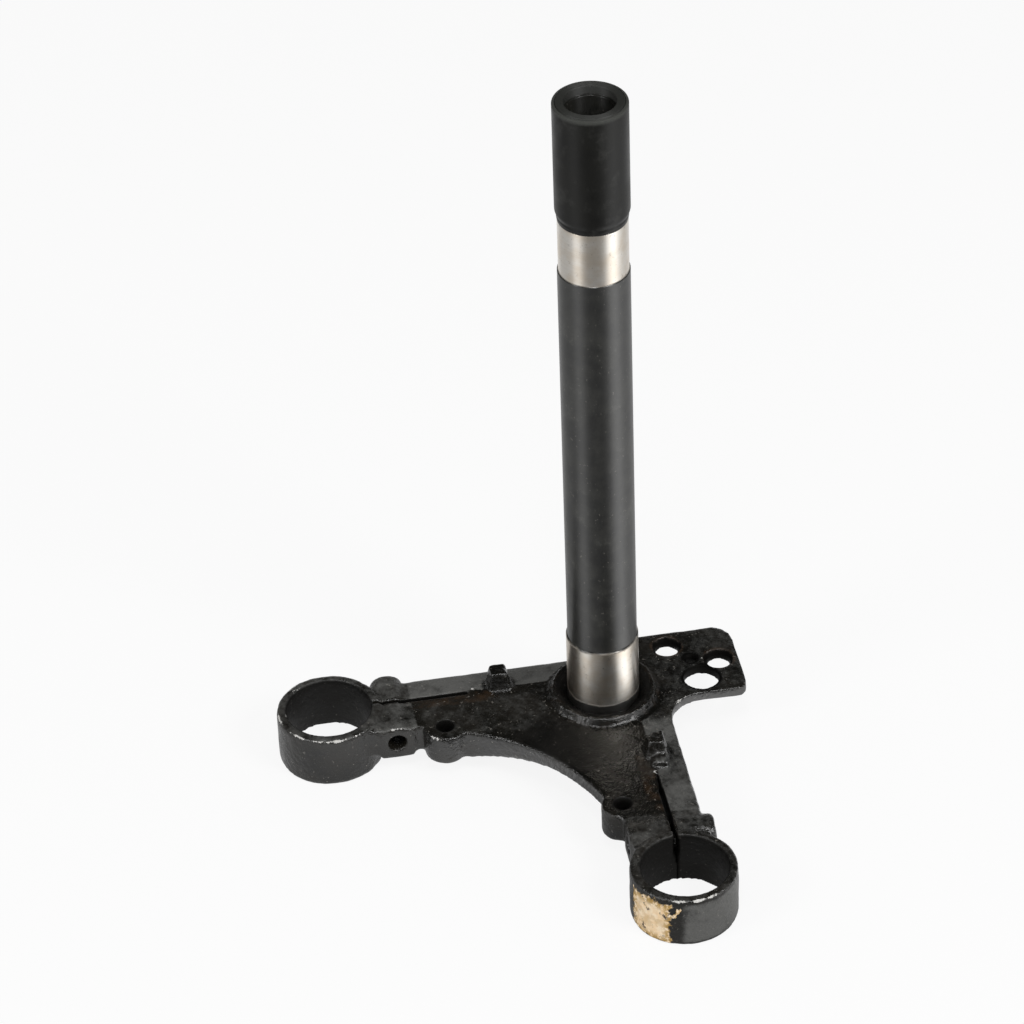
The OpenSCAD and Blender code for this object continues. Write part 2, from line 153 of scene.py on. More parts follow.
# The camera, fitted to the photograph: angles in degrees, distance and aim in metres
AZIMUTH, ELEVATION, ROLL = 36.456, 37.57, 2.162
CAMERA_AIM = np.array([-0.111784, 0.095763, 0.0])
CAMERA_DISTANCE = 1.879926
# Where the lamps point, and the level direction away from the camera
LAMP_AIM = (0, 0, 0.05)
BEHIND_STEM = (-0.594, 0.804, 0.0)
# Level of the room at compass angles round the stem, and the turn of their zero in degrees
RING_START = 53.5 + 180
RING_STOPS = (
    (0, 1.0), (33, 0.95), (57, 0.6), (85, 0.55), (108, 0.62), (120, 1.1), (133, 1.15), (147, 0.55),
    (160, 0.36), (180, 0.31), (202, 0.35), (215, 0.58), (227, 1.45), (240, 1.95), (250, 1.9),
    (263, 1.2), (280, 0.85), (303, 0.78), (330, 0.95), (360, 1.0))


def arm_place(points, right):
    """Reach along an arm and side offset from its slit, both in millimetres.

    The place is taken from the fork axis and turned by the arm's angle; the right arm is the
    left one mirrored.
    """
    x = -points[:, 0] if right else points[:, 0]
    dx = x + FORK[0]
    dy = points[:, 1] - FORK[1]
    reach = dx * math.cos(ARM) + dy * math.sin(ARM)
    side = dy * math.cos(ARM) - dx * math.sin(ARM)
    return reach, side


def arm_heading(normals, right):
    """The share of each normal that points to the rear, across the arm, in the same frame."""
    x = -normals[:, 0] if right else normals[:, 0]
    return normals[:, 1] * math.cos(ARM) - x * math.sin(ARM)


def smoothstep(value, low, high):
    """Zero below low, one above high, and 3t^2 - 2t^3 between them, t running from 0 to 1."""
    t = np.clip((value - low) / (high - low), 0, 1)
    return t * t * (3 - 2 * t)


def within(value, low, high, soft):
    """One between low and high, falling to zero over soft on either side."""
    return smoothstep(value, low - soft, low) * (1 - smoothstep(value, high, high + soft))


def lattice_noise(points, size, seed):
    """Value noise from -1 to 1: random numbers on a cubic lattice of the given size.

    Each point blends the numbers at the eight corners of its cell, with weights that are the
    products of the smoothstep of its place in the cell along the three axes.
    """
    table = np.random.default_rng(seed).uniform(-1, 1, (32, 32, 32))
    cell = np.floor(points / size).astype(int)
    t = points / size - cell
    t = t * t * (3 - 2 * t)
    total = np.zeros(len(points))
    for corner in np.ndindex(2, 2, 2):
        corner = np.array(corner)
        weight = np.where(corner, t, 1 - t).prod(axis=1)
        i, j, k = ((cell + corner) % 32).T
        total += weight * table[i, j, k]
    return total


def bells(points, rows):
    """exp(-(distance / radius)^2) of each point to each row of x, y, z and radius."""
    distance = points[:, None, :] - rows[None, :, :3]
    return np.exp(-(distance ** 2).sum(axis=2) / rows[:, 3] ** 2)


def hub_distance(points):
    """Distance from the stem's axis, seen from above."""
    return np.hypot(points[:, 0], points[:, 1])


def lobe_distance(points, right):
    """Distance from the axis of a lobe's tapped hole, seen from above."""
    x, y = LOBE_HOLES[int(right)]
    return np.hypot(points[:, 0] - x, points[:, 1] - y)


def tab_distance(points, hole):
    """How far each point is from the axis of a hole in the tab, seen from above."""
    reach, side = arm_place(points, False)
    return np.hypot(reach - HUB_REACH - hole[0], side - hole[1])


def near_lug(reach, side):
    """One on the stop lug of an arm, seen from above."""
    return within(reach, 57, 74, 2) * within(side, -4, 8, 1)


def neighbour_mean(values, edges):
    """The mean of each vertex's neighbours, summed over the mesh's edges in both directions."""
    count = len(values)
    degree = np.bincount(edges.ravel(), minlength=count)
    total = np.empty_like(values)
    for axis in range(values.shape[1]):
        column = values[:, axis]
        total[:, axis] = (np.bincount(edges[:, 0], column[edges[:, 1]], count)
                          + np.bincount(edges[:, 1], column[edges[:, 0]], count))
    return total / degree[:, None]


def stepped(points, edges, share):
    """Each point moved by a share of the way to its neighbours' mean."""
    return points + share * (neighbour_mean(points, edges) - points)


def relaxed(points, edges, rounds):
    """Rounds of a step towards the neighbours' mean and a slightly longer one back.

    The pair of steps takes off small steps and corners and keeps the size of the form.
    """
    for _ in range(rounds):
        points = stepped(stepped(points, edges, 0.5), edges, -0.52)
    return points


def softened(points, edges, rounds):
    """Rounds of half a step towards the neighbours' mean, which rounds edges and fills corners."""
    for _ in range(rounds):
        points = stepped(points, edges, 0.5)
    return points


def machined(points):
    """One where the casting is bored, drilled or sawn and its edges stay crisp, otherwise zero."""
    crisp = np.zeros(len(points))
    for right in (False, True):
        reach, side = arm_place(points, right)
        crisp = np.maximum(crisp, 1 - smoothstep(np.hypot(reach, side), 17.0, 18.2))
        crisp = np.maximum(crisp, within(side, -1.3, 1.3, 0.7) * within(reach, 10, 55.6, 0.8))
        drill = np.hypot(reach - PINCH_REACH, points[:, 2] - PINCH_HEIGHT)
        crisp = np.maximum(crisp, 1 - smoothstep(drill, 4.4, 5.4))
        crisp = np.maximum(crisp, 1 - smoothstep(lobe_distance(points, right), 4.0, 5.0))
    for hole in TAB_HOLES:
        away = tab_distance(points, hole) - hole[2]
        crisp = np.maximum(crisp, 1 - smoothstep(away, 0.9, 1.9))
    return crisp


def rounded_cast(points, edges):
    """The casting with soft edges: crisp where machined, well rounded at bosses and lugs."""
    gentle = softened(points, edges, 2)
    strong = softened(gentle, edges, 7)
    z = points[:, 2]
    collar = (hub_distance(points) < HUB_RADIUS) * smoothstep(z, 19.5, 20.5)
    crisp = np.maximum(machined(points), 0.7 * collar)
    strength = np.zeros(len(points))
    for right in (False, True):
        reach, side = arm_place(points, right)
        boss = within(reach, 15.5, 33.5, 1.5) * smoothstep(np.abs(side), 10.5, 13)
        lug = near_lug(reach, side) * smoothstep(z, 20.5, 22)
        strength = np.maximum(strength, np.maximum(boss, 0.5 * lug))
    points = points + (gentle - points) * ((1 - crisp) * 0.8)[:, None]
    return points + (strong - points) * (strength * (1 - crisp))[:, None]


def read_rows(source, key, width, kind=np.float32):
    """A property of all vertices, normals or edges as rows of numbers."""
    values = np.empty(len(source) * width, kind)
    source.foreach_get(key, values)
    return values.reshape(-1, width)


def read_points(mesh):
    return read_rows(mesh.vertices, "co", 3).astype(float)


def read_normals(mesh):
    return read_rows(mesh.vertex_normals, "vector", 3).astype(float)


def write_points(mesh, points):
    mesh.vertices.foreach_set("co", points.astype(np.float32).ravel())
    mesh.update()


def write_value(mesh, name, values):
    layer = mesh.attributes.new(name, "FLOAT", "POINT")
    layer.data.foreach_set("value", values.astype(np.float32))


def new_object(name, data):
    """A new object, linked to the scene."""
    made = bpy.data.objects.new(name, data)
    bpy.context.scene.collection.objects.link(made)
    return made


def even_skin(node, voxel):
    """A merged copy of a CAD node's mesh, meshed again in even cells lined up with the arms.

    The casting is made this way because so many blended arms, bosses and holes have no plain
    parametric surface. The copy is turned by the arm's angle for the meshing, so that the
    arms' straight edges run along the rows of cells, and is turned back after it.
    """
    shell = bmesh.new()
    shell.from_mesh(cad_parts[node].data)
    bmesh.ops.remove_doubles(shell, verts=shell.verts, dist=2e-6)
    shell.transform(Matrix.Rotation(-ARM, 4, "Z"))
    mesh = bpy.data.meshes.new(node + "_merged")
    shell.to_mesh(mesh)
    shell.free()
    carrier = new_object(node + "_carrier", mesh)
    cells = carrier.modifiers.new("Even cells", "REMESH")
    cells.mode = "VOXEL"
    cells.voxel_size = voxel
    cells.adaptivity = 0
    graph = bpy.context.evaluated_depsgraph_get()
    skin = bpy.data.meshes.new_from_object(carrier.evaluated_get(graph))
    bpy.data.objects.remove(carrier)
    bpy.data.meshes.remove(mesh)
    skin.transform(Matrix.Rotation(ARM, 4, "Z"))
    return skin


def cast_skin(points, normals, depth):
    """How far the casting's skin lies out of the plain form, in millimetres.

    Two lattice noises of 7 and 2.6 mm give the uneven skin, times depth. It is rougher on the
    collar and the lugs and smooth in the bores. Each lump adds its height times
    exp(-(distance / radius)^2), and paint narrows the slits' ends and fills the dish.
    """
    z = points[:, 2]
    hub = hub_distance(points)
    rough = 1 - 0.85 * machined(points)
    uneven = 0.6 * lattice_noise(points, 7.0, 3) + 0.4 * lattice_noise(points, 2.6, 4)
    skin = depth * rough * uneven
    collar = within(hub, 15.0, 22.5, 0.8) * smoothstep(z, 19.8, 20.8)
    skin += collar * (0.42 * lattice_noise(points, 4.6, 7) + 0.22 * lattice_noise(points, 1.9, 8))
    dish = (1 - smoothstep(hub, 17.0, 18.8)) * smoothstep(z, 20.0, 20.3)
    dish *= smoothstep(normals[:, 2], 0.3, 0.8)
    skin += dish * (0.7 + 0.6 * lattice_noise(points, 5.0, 9))
    for right in (False, True):
        reach, side = arm_place(points, right)
        lug = near_lug(reach, side) * smoothstep(z, 20.6, 21.4)
        broken = lattice_noise(points, 2.3, 11) + 0.6 * lattice_noise(points, 1.3, 12)
        skin += lug * (0.45 if right else 0.25) * broken
        inward = smoothstep(-np.sign(side) * arm_heading(normals, right), 0.2, 0.7)
        inward *= np.abs(side) < 1.4
        foot = within(reach, 14, 36, 1) * (1 - smoothstep(z, 11.0, 13.5))
        tip = within(reach, 47.5, 56, 2) * smoothstep(z, 15, 18) * (0.75 if right else 0.0)
        skin += inward * np.maximum(foot, tip) * np.clip(np.abs(side) - 0.04, 0, 0.86)
    pilot = 1 - smoothstep(tab_distance(points, PILOT_HOLE), 2.3, 2.9)
    skin += 0.55 * pilot * within(z, 16.4, 19.4, 0.5)
    return skin + (LUMPS[:, 4] * bells(points, LUMPS)).sum(axis=1)


def pinched(points):
    """The walls of both slits brought together at their foot, where paint and dirt fill them."""
    for right in (False, True):
        reach, side = arm_place(points, right)
        pull = within(reach, 15.5, 36, 0.8) * (points[:, 2] < 9) * (np.abs(side) < 1.3)
        across = np.array([math.sin(ARM) * (1 if right else -1), math.cos(ARM), 0.0])
        points = points - (0.95 * pull * side)[:, None] * across
    return points


def lift(masks, **values):
    """Raise each named mask to the given values where they are higher."""
    for name, value in values.items():
        masks[name] = np.maximum(masks[name], value)


def mark_arms(masks, points, normals, flat_up):
    """Grey rear strips, clamp rims and bosses of dust and painted sheen, rust along the slits, and
    painted shade in the slits, bores and holes.
    """
    z = points[:, 2]
    hub = hub_distance(points)
    facing_up = smoothstep(normals[:, 2], 0.2, 0.7)
    for right in (False, True):
        reach, side = arm_place(points, right)
        # The rear strips are grey partly from dust and partly as painted sheen for the light their
        # slope catches.
        strip = within(side, 1.0, 13.5, 0.5) * within(reach, 33, 104, 2)
        strip *= smoothstep(np.hypot(reach - 67.5, side - 2.3), 5.0, 8.0)
        if right:
            strip *= 0.62 * (1 - smoothstep(reach, 84, 96))
        border = within(side, -5.5, -1.0, 1.5) * within(reach, 33, 64, 5)
        slit = within(side, -1.1, 1.1, 0.25) * within(reach, 10, 55.4, 0.4)
        lift(masks,
             dust=strip * flat_up * (z > 18) * (hub > HUB_RADIUS),
             rust=(0.28 if right else 0.34) * border * flat_up,
             deep=slit * (z < 19.7) * (1 - flat_up),
             sawn=within(side, -1.6, 1.6, 0.5) * within(reach, 10, 54, 1))
        fork = np.hypot(reach, side)
        rim = within(fork, 16, 21, 0.5) * (z > 20.5)
        boss = within(reach, 16.5, 32, 1) * within(np.abs(side), 2, 18, 1) * (z > 19) * (fork > 21)
        lobe = lobe_distance(points, right)
        bore = 0.6 * (fork < 17.2) * within(z, -1, 21.6, 0.4)
        lift(masks,
             dust=(0.36 if right else 0.54) * np.maximum(0.8 * rim, boss) * facing_up,
             deep=np.maximum(bore, (1 - smoothstep(lobe, 3.3, 4.3)) * (z > 3)),
             sawn=(1.2 if right else 0.5) * (1 - smoothstep(lobe, 5.0, 6.0)))


def mark_deck(masks, points, flat_up):
    """Thin dust with painted sheen on tab and deck, rust round the bracket holes, and a little rust
    and painted shade in the dish round the hub.

    The deck just ahead of the stem also gets painted shade, which keeps it from mirroring the seat.
    """
    z = points[:, 2]
    hub = hub_distance(points)
    reach, side = arm_place(points, False)
    tab = within(reach - HUB_REACH, 21, 58, 3) * (hub > HUB_RADIUS) * (z > 15)
    arm_deck = within(side, -26, -5, 3) * within(reach, 36, 88, 4) * (z > 18) * (hub > HUB_RADIUS)
    lift(masks, dust=np.maximum(0.27 * tab, 0.24 * arm_deck) * flat_up)
    for hole in BRACKET_HOLES:
        away = tab_distance(points, hole) - hole[2]
        lift(masks, rust=0.9 * (1 - smoothstep(away, 0.8, 3.0)) * tab)
    lift(masks,
         rust=0.12 * within(hub, 0, 21.5, 1.5) * (z > 19),
         deep=0.5 * (hub < 18.6) * (z > 18))
    mirror = np.hypot(points[:, 0] - 5, (points[:, 1] + 36) * 1.2)
    lift(masks, deep=0.5 * (1 - smoothstep(mirror, 8, 26)) * flat_up * (hub > 22.5))


def mark_right_clamp(masks, points):
    """The bare patch on the right clamp's outer wall, the flecks beside it, and a grey part that is
    partly dust and partly painted sheen.
    """
    z = points[:, 2]
    across = points[:, :2] - BARE_CLAMP
    around = np.degrees(np.arctan2(across[:, 1], across[:, 0]))
    outer = smoothstep(np.hypot(across[:, 0], across[:, 1]), 18.6, 19.6)
    patch = np.maximum(np.abs(around + 97) / 26, np.abs(z - 10.0) / 9.8)
    bare = np.clip(1.5 - patch, 0, 1)
    for turn, height, size in FLECKS:
        fleck = np.hypot((around - turn) / (2.2 * size), (z - height) / (1.5 * size))
        bare = np.maximum(bare, np.clip(1.4 - fleck, 0, 1))
    # Grey on the right clamp's wall where it turns to the bright side: partly dust, partly painted
    # sheen.
    dusty_sheen = within(around, -50, 40, 14) * within(z, 2.5, 19, 2)
    lift(masks, bare=outer * bare, dust=1.05 * outer * dusty_sheen)


def chipped_paint(points, bend, sawn):
    """Chips and painted glints on outward bends, mostly at the listed places, beads and nicks."""
    near = np.linalg.norm(points[:, None, :] - CHIPS_AND_GLINTS[None, :, :3], axis=2) / CHIPS_AND_GLINTS[:, 3]
    chipped = np.clip(1.4 - near, 0, 1).max(axis=1)
    chip = bend ** 2 * (0.34 + 0.70 * chipped) * (1 - 0.7 * np.clip(sawn, 0, 1.2))
    # The beads at the slits' ends and on the collar get painted highlights.
    chip = np.maximum(chip, 0.95 * (bells(points, LUMPS[:BEADS]) ** 1.3).max(axis=1))
    return np.maximum(chip, 1.1 * bells(points, NICKS_AND_GLINTS).max(axis=1))


def casting_masks(points, normals, bend):
    """Where the casting has dust and painted sheen, rust, chips and painted glints, bare metal
    and painted shade, each as one number per vertex.

    The regions are bands of reach, side and height in the arms' own frames, and balls round
    the places of chips and painted glints, each with a soft border.
    """
    z = points[:, 2]
    flat_up = smoothstep(normals[:, 2], 0.6, 0.9)
    masks = {name: np.zeros(len(points)) for name in ("dust", "rust", "bare", "deep", "sawn")}
    mark_arms(masks, points, normals, flat_up)
    mark_deck(masks, points, flat_up)
    mark_right_clamp(masks, points)
    masks["dust"] = np.clip(masks["dust"] * (0.9 + 0.4 * lattice_noise(points, 5.0, 32)), 0, 1)
    masks["chip"] = chipped_paint(points, np.clip(bend, 0, 1), masks.pop("sawn"))
    ragged = 1.1 + 0.55 * lattice_noise(points, 1.7, 31)
    for hole in TAB_HOLES:
        away = tab_distance(points, hole) - hole[2] - ragged
        # Painted glints on the rims of the tab holes, and painted shade in their mouths.
        glint = np.exp(-((away - 0.5) / 0.5) ** 2) * (z > 19) * (hole[1] < 5)
        lift(masks, deep=(1 - smoothstep(away, -0.2, 0.5)) * (z > 15), chip=0.62 * glint)
    return masks


def rounded_profile(corners, radii, steps=5):
    """A closed outline whose corners are drawn as short curves.

    Each corner P with radius r becomes the curve (1-t)^2 A + 2t(1-t) P + t^2 B, where A and B
    lie r before and after P on its two sides.
    """
    before = np.roll(corners, 1, axis=0) - corners
    after = np.roll(corners, -1, axis=0) - corners
    before /= np.linalg.norm(before, axis=1)[:, None]
    after /= np.linalg.norm(after, axis=1)[:, None]
    start = corners + before * radii[:, None]
    end = corners + after * radii[:, None]
    t = np.linspace(0, 1, steps)[None, :, None]
    curve = (1 - t) ** 2 * start[:, None] + t ** 2 * end[:, None]
    return (curve + 2 * t * (1 - t) * corners[:, None]).reshape(-1, 2)


def turned_surface(name, profile, around):
    """A closed profile of radius and height, in millimetres, turned about the stem's axis.

    Point (u, v) is (r(v) cos u, r(v) sin u, z(v)); u runs once round and v along the profile,
    which closes on itself.
    """
    angle = np.linspace(0, 2 * math.pi, around, endpoint=False)
    radius, height = profile.T
    points = np.stack([np.outer(np.cos(angle), radius), np.outer(np.sin(angle), radius),
                       np.broadcast_to(height, (around, len(height)))], axis=-1)
    i, j = np.meshgrid(np.arange(around), np.arange(len(profile)), indexing="ij")
    nexti, nextj = (i + 1) % around, (j + 1) % len(profile)
    row = len(profile)
    faces = np.stack([i * row + j, nexti * row + j, nexti * row + nextj, i * row + nextj], axis=-1)
    mesh = bpy.data.meshes.new(name)
    mesh.from_pydata((points.reshape(-1, 3) * MM).tolist(), [], faces.reshape(-1, 4).tolist())
    mesh.update()
    return mesh


def add_piece(name, mesh, material, node, sharp=None):
    """Link a finished mesh as a piece that rides on the root and stands for a CAD node."""
    mesh.shade_smooth()
    if sharp:
        mesh.set_sharp_from_angle(angle=math.radians(sharp))
    mesh.materials.clear()
    mesh.materials.append(material)
    piece = new_object(name, mesh)
    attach(piece, "root")
    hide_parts(node)
    return piece


def connect(tree, node, inputs):
    """Give each input of a node its value, or the socket that feeds it."""
    for key, value in inputs.items():
        if isinstance(value, bpy.types.NodeSocket):
            tree.links.new(value, node.inputs[key])
        else:
            node.inputs[key].default_value = value


def put(tree, kind, inputs=None, **settings):
    """Add a node with its settings and inputs."""
    made = tree.nodes.new(kind)
    for key, value in settings.items():
        setattr(made, key, value)
    connect(tree, made, inputs or {})
    return made


def feed(tree, node, **inputs):
    """Connect inputs given by name, with _ for a space."""
    connect(tree, node, {key.replace("_", " "): value for key, value in inputs.items()})


def texture(tree, place, scale, detail, rough=0.5):
    """Noise at a given scale."""
    made = put(tree, "ShaderNodeTexNoise", {
        "Vector": place, "Scale": scale, "Detail": detail, "Roughness": rough})
    return made.outputs["Fac"]


def noise(tree, place, size, detail=3.0, rough=0.55):
    """Noise whose features are about size millimetres."""
    return texture(tree, place, 1000 / size, detail, rough)


def remap(tree, value, low, high, to_low=0.0, to_high=1.0, smooth=True):
    """Bring a value from one range to another, held at its ends."""
    made = put(tree, "ShaderNodeMapRange", {
        "Value": value, "From Min": low, "From Max": high, "To Min": to_low, "To Max": to_high},
        interpolation_type="SMOOTHSTEP" if smooth else "LINEAR")
    return made.outputs["Result"]


def calc(tree, operation, first, second=0.0, clamp=False):
    made = put(tree, "ShaderNodeMath", {0: first, 1: second}, operation=operation, use_clamp=clamp)
    return made.outputs[0]


def times(tree, first, second, clamp=False):
    return calc(tree, "MULTIPLY", first, second, clamp)


def plus(tree, base, mask, share, clamp=False):
    """A value with a share of a mask added to it."""
    return calc(tree, "ADD", base, times(tree, mask, share), clamp)


def dot(tree, direction, axis):
    made = put(tree, "ShaderNodeVectorMath", {0: direction, 1: axis}, operation="DOT_PRODUCT")
    return made.outputs["Value"]


def blend(tree, factor, first, second):
    """Mix two colours."""
    made = put(tree, "ShaderNodeMix", {0: factor, 6: first, 7: second}, data_type="RGBA")
    return made.outputs[2]


def tint(tree, tone, mask, share, over):
    """Lay a colour over a tone, as far as a share of the mask."""
    return blend(tree, times(tree, mask, share), tone, over)


def own(tree, name):
    """One of the piece's own attributes."""
    return put(tree, "ShaderNodeAttribute", attribute_name=name).outputs["Fac"]


def colour(value):
    return (value[0], value[1], value[2], 1.0)


def built_once(name, fill, inputs, outputs):
    """The node group of that name, made and filled the first time.

    The inputs are names with default values, None standing for a vector; the outputs are
    names of numbers.
    """
    tree = bpy.data.node_groups.get(name)
    if tree:
        return tree
    tree = bpy.data.node_groups.new(name, "ShaderNodeTree")
    for label, default in inputs.items():
        kind = "NodeSocketVector" if default is None else "NodeSocketFloat"
        socket = tree.interface.new_socket(label, in_out="INPUT", socket_type=kind)
        if default is not None:
            socket.default_value = default
    for label in outputs:
        tree.interface.new_socket(label, in_out="OUTPUT", socket_type="NodeSocketFloat")
    source, sink = tree.nodes.new("NodeGroupInput"), tree.nodes.new("NodeGroupOutput")
    fill(tree, source.outputs, sink.inputs)
    return tree


def fill_grain(tree, source, sink):
    """A coarse and a fine noise added up as a height, and slow patches of tone."""
    place = source["Vector"]
    coarse = texture(tree, place, source["Coarse"], 2.0, 0.6)
    fine = texture(tree, place, source["Fine"], 2.0, 0.6)
    patches = texture(tree, place, source["Patch"], 4.0, 0.6)
    tree.links.new(plus(tree, coarse, fine, source["Fine Share"]), sink["Height"])
    tree.links.new(remap(tree, patches, 0.35, 0.65), sink["Patches"])


def grain(tree, place, **inputs):
    """The height and the patches of a grained surface."""
    group = built_once(
        "Grain", fill_grain,
        {"Vector": None, "Coarse": 900.0, "Fine": 3000.0, "Fine Share": 0.35, "Patch": 90.0},
        ["Height", "Patches"])
    return grouped(tree, group, Vector=place, **inputs)


def fill_ragged(tree, source, sink):
    """A soft mask is pushed about by noise and cut at a level, so its border frays."""
    fray = texture(tree, source["Vector"], source["Scale"], 4.0, 0.65)
    pushed = plus(tree, source["Mask"], calc(tree, "SUBTRACT", fray, 0.5), source["Fray"])
    low = calc(tree, "SUBTRACT", source["Level"], source["Softness"])
    high = calc(tree, "ADD", source["Level"], source["Softness"])
    present = times(tree, source["Mask"], 5.0, clamp=True)
    tree.links.new(times(tree, remap(tree, pushed, low, high), present), sink["Mask"])


def frayed(tree, place, name, **inputs):
    """One of the piece's own masks with a frayed border."""
    group = built_once(
        "Ragged mask", fill_ragged,
        {"Vector": None, "Mask": 0.0, "Scale": 700.0, "Fray": 0.8, "Level": 0.5, "Softness": 0.1},
        ["Mask"])
    return grouped(tree, group, Vector=place, Mask=own(tree, name), **inputs)["Mask"]


def fill_band(tree, source, sink):
    """One between two heights, with borders that wave and fray by noise."""
    parts = put(tree, "ShaderNodeSeparateXYZ", {0: source["Vector"]})
    wave = calc(tree, "SUBTRACT", texture(tree, source["Vector"], 260.0, 4.0), 0.5)
    height = plus(tree, parts.outputs["Z"], wave, source["Wave"])
    edges = []
    for name, sign in (("From", 1), ("To", -1)):
        gap = calc(tree, "SUBTRACT", height, source[name])
        share = calc(tree, "DIVIDE", gap, source["Softness"])
        edges.append(calc(tree, "ADD", times(tree, share, 0.5 * sign), 0.5, clamp=True))
    tree.links.new(times(tree, *edges), sink["Mask"])


def band(tree, place, heights, wave, softness):
    """One between two heights, in metres."""
    group = built_once(
        "Height band", fill_band,
        {"Vector": None, "From": 0.0, "To": 0.1, "Wave": 0.0, "Softness": 0.0002}, ["Mask"])
    made = grouped(tree, group, Vector=place, From=heights[0], To=heights[1], Wave=wave,
                   Softness=softness)
    return made["Mask"]


def grouped(tree, group, **inputs):
    """Place a node group, its inputs given by name with _ for a space."""
    made = tree.nodes.new("ShaderNodeGroup")
    made.node_tree = group
    feed(tree, made, **inputs)
    return made.outputs


def blank_tree(owner):
    """The emptied node tree of a material or a world."""
    owner.use_nodes = True
    owner.node_tree.nodes.clear()
    return owner.node_tree


def new_material(name):
    """An empty node material with its shader, output and object coordinates."""
    material = bpy.data.materials.new(name)
    tree = blank_tree(material)
    shader = put(tree, "ShaderNodeBsdfPrincipled")
    out = put(tree, "ShaderNodeOutputMaterial")
    tree.links.new(shader.outputs["BSDF"], out.inputs["Surface"])
    place = put(tree, "ShaderNodeTexCoord").outputs["Object"]
    return material, tree, shader, place


def bump(tree, height, distance):
    """A normal from a height, distance in millimetres."""
    made = put(tree, "ShaderNodeBump", {"Height": height, "Distance": distance * MM})
    return made.outputs["Normal"]


def turned_finish(tree, shader, level, stretch):
    """Reflections drawn out round the axis, as fine turning marks do."""
    turn = put(tree, "ShaderNodeTangent", direction_type="RADIAL", axis="Z")
    feed(tree, shader, Specular_IOR_Level=level, Anisotropic=stretch, Anisotropic_Rotation=0.25,
         Tangent=turn.outputs["Tangent"])


def bare_metal(tree, place, look):
    """The patch without paint: pale and ochre clouds, a golden border and dark cracks."""
    pale = remap(tree, noise(tree, place, 4.0, 4.0, 0.6), 0.38, 0.60)
    ochre = remap(tree, noise(tree, place, 7.0, 3.0, 0.6), 0.52, 0.62)
    border = times(tree, remap(tree, own(tree, "bare"), 0.98, 0.6),
                   remap(tree, noise(tree, place, 1.6), 0.42, 0.55))
    cracks = remap(tree, noise(tree, place, 3.2, 5.0, 0.7), 0.36, 0.42)
    tone = blend(tree, pale, colour(look.bare), BARE_PALE)
    tone = tint(tree, tone, ochre, 0.4, OCHRE)
    tone = blend(tree, border, tone, GOLDEN_BORDER)
    return blend(tree, cracks, CRACK, tone)


def casting_material(look):
    """Worn black paint on a rough casting: dust and painted sheen, rust, chips and painted
    glints, painted shade, and one bare patch.
    """
    material, tree, shader, place = new_material("worn_black_casting")
    skin = grain(tree, place, Coarse=1000 / look.grain, Fine=2200.0, Fine_Share=0.22, Patch=70.0)
    dust = frayed(tree, place, "dust", Scale=420.0, Fray=1.0, Level=0.5, Softness=0.42)
    rust = frayed(tree, place, "rust", Scale=230.0, Fray=1.8, Level=0.45, Softness=0.4)
    chip = frayed(tree, place, "chip", Scale=950.0, Fray=1.3, Level=0.72, Softness=0.06)
    bare = frayed(tree, place, "bare", Scale=330.0, Fray=1.1, Level=0.5, Softness=0.05)
    deep = own(tree, "deep")
    specks = remap(tree, noise(tree, place, 1.3, 2.0), 0.67, 0.72)
    tone = blend(tree, skin["Patches"], colour(look.paint), colour(look.paint_worn))
    tone = tint(tree, tone, dust, 0.75, colour(look.dust))
    tone = tint(tree, tone, rust, 0.5, colour(look.rust))
    # Chipped edges show pale iron; the same mask lays painted glints along rims and on beads and
    # nicks.
    tone = blend(tree, chip, tone, blend(tree, noise(tree, place, 1.5), IRON_AND_GLINT_DARK, IRON_AND_GLINT_PALE))
    tone = tint(tree, tone, specks, 0.4, SPECK)
    tone = blend(tree, bare, tone, bare_metal(tree, place, look))
    # Painted shade: near black in slits, bores, hole mouths and the dish, and on the deck before
    # the stem, where its metallic share also takes away reflections.
    tone = blend(tree, deep, tone, PAINTED_SHADE_BLACK)
    rough = remap(tree, skin["Patches"], 0.0, 1.0, look.roughness - ROUGH_SPREAD,
                  look.roughness + ROUGH_SPREAD, smooth=False)
    rough = plus(tree, rough, dust, 0.12)
    rough = plus(tree, rough, deep, 0.5)
    rough = plus(tree, rough, bare, 0.25, clamp=True)
    height = times(tree, skin["Height"], plus(tree, 1.0, deep, -0.8))
    height = plus(tree, height, chip, -0.5)
    height = plus(tree, height, bare, -0.6)
    feed(tree, shader, Base_Color=tone, Metallic=times(tree, deep, 0.85), Roughness=rough,
         Normal=bump(tree, height, look.grain_depth), Specular_IOR_Level=0.75)
    return material


def ground_seats(tree, place, patches, marks, stain, look):
    """Bright ground steel with turning marks, stains and pits, tanned at the lower left."""
    pits = remap(tree, noise(tree, place, 0.8, 2.0), 0.70, 0.76)
    left = remap(tree, dot(tree, place, (-45.0, -54.0, 0.0)), 0.72, 1.0)
    lower = band(tree, place, (BELOW_STEM, 0.0445), 0.02, 0.02)
    tone = blend(tree, patches, colour(look.seat), colour(look.seat_warm))
    tone = tint(tree, tone, marks, 0.35, TURNING_MARK)
    tone = tint(tree, tone, stain, 0.5, STAIN)
    tone = tint(tree, tone, pits, 0.5, PIT)
    return tint(tree, tone, times(tree, left, lower), 0.5, TAN)


